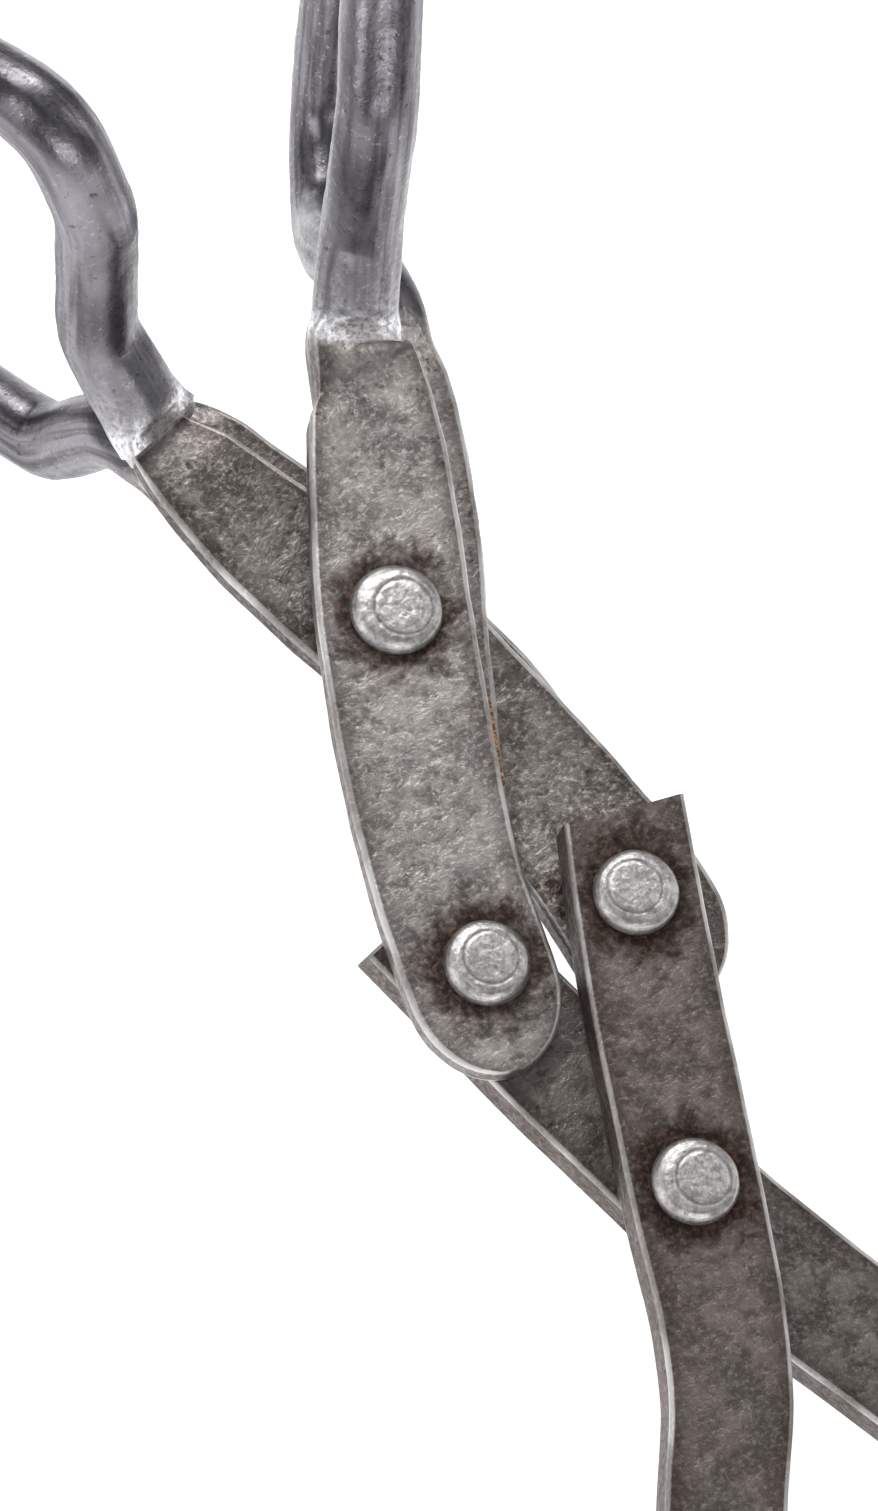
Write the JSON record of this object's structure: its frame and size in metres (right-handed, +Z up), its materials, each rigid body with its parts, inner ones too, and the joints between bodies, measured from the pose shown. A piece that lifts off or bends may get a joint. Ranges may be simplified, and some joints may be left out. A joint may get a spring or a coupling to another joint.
{
  "type": "blacksmith tongs",
  "caption": "Forged steel blacksmith tongs with looped hand grips and a riveted kite linkage that opens two bowed jaws for gripping hot metal.",
  "frame": {"origin": "on the ground under the centre of the bounding box, with the tongs lying on their hand loops and jaw tips", "axes": "+Y along the tongs towards the hand loops, +X to the right, +Z up; the rivets lean 8.2 degrees from +Z towards -Y"},
  "size_m": [0.1088, 0.3722, 0.1148],
  "materials": {
    "handle_steel": "wire-brushed forged steel with dark scale in the hollows",
    "jaw_steel": "dark oiled flat bar, bright along worn edges",
    "rivet_steel": "pale peened heads with faint rings",
    "braze": "rough braze filler"
  },
  "bodies": {
    "front_handle": {"front_handle": "handle_steel", "front_braze": "braze", "main_rivet": "rivet_steel", "front_handle_rivet": "rivet_steel"},
    "rear_handle": {"rear_handle": "handle_steel", "rear_braze": "braze", "rear_handle_rivet": "rivet_steel"},
    "rear_jaw": {"rear_jaw": "jaw_steel", "jaw_rivet": "rivet_steel"},
    "front_jaw": {"front_jaw": "jaw_steel"}
  },
  "joints": [
    {"name": "main_pivot", "type": "hinge", "parent": "front_handle", "child": "rear_handle", "pos_m": [-0.00056, 0.06203, 0.03969], "axis": [0, -0.1421, 0.9899], "range_deg": [-2, 30]},
    {"name": "rear_jaw_pivot", "type": "hinge", "parent": "front_handle", "child": "rear_jaw", "pos_m": [-0.01306, 0.00617, 0.03167], "axis": [0, -0.1421, 0.9899], "range_deg": [-2.42, 34.86]},
    {"name": "front_jaw_pivot", "type": "hinge", "parent": "rear_handle", "child": "front_jaw", "pos_m": [0.01194, 0.00617, 0.03167], "axis": [0, -0.1421, 0.9899], "range_deg": [-34.86, 2.42]}
  ],
  "couplings": [
    {"joint": "rear_jaw_pivot", "follows": "main_pivot", "ratio": 1.1588},
    {"joint": "front_jaw_pivot", "follows": "main_pivot", "ratio": -1.1588}
  ]
}
